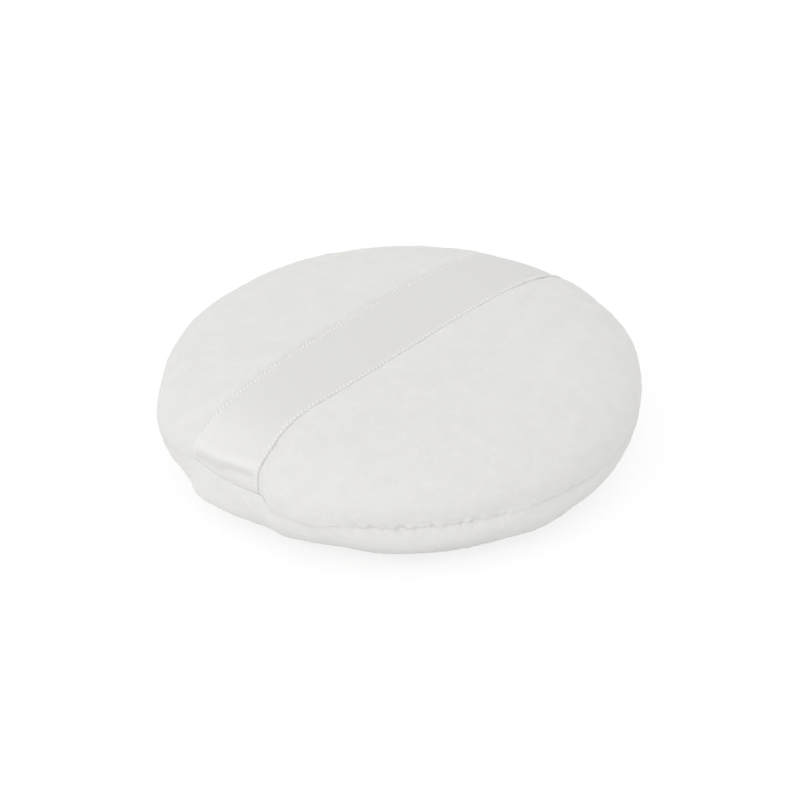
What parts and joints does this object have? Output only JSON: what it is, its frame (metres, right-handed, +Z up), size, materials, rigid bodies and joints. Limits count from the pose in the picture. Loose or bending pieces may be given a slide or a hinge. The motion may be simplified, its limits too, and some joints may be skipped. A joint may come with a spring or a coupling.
{
  "type": "powder puff",
  "caption": "Round crowned velour pad for putting on loose powder, with a satin ribbon across its top that fingers slip under.",
  "frame": {"origin": "middle of the flat underside, on the surface that the puff lies on", "axes": "+Z up through the crown, Y along the ribbon, X across it; the ribbon's near end is at -Y"},
  "size_m": [0.09, 0.0876, 0.023],
  "materials": {
    "velour": "short cut pile, matte, warm white",
    "satin": "satin weave, soft sheen, white",
    "foam": "open-cell foam, cream",
    "thread": "twisted sewing thread, white"
  },
  "bodies": {
    "pad": {"top_cover": "velour", "bottom_cover": "velour", "foam_core": "foam", "ribbon_near_tail": "satin", "ribbon_far_tail": "satin", "needle_thread": "thread", "bobbin_thread": "thread", "closing_thread": "thread"},
    "ribbon": {"ribbon_span": "satin"}
  },
  "joints": [
    {"name": "ribbon_lift", "type": "slide", "parent": "pad", "child": "ribbon", "axis": [0, 0, 1], "range_m": [0, 0.008]}
  ]
}
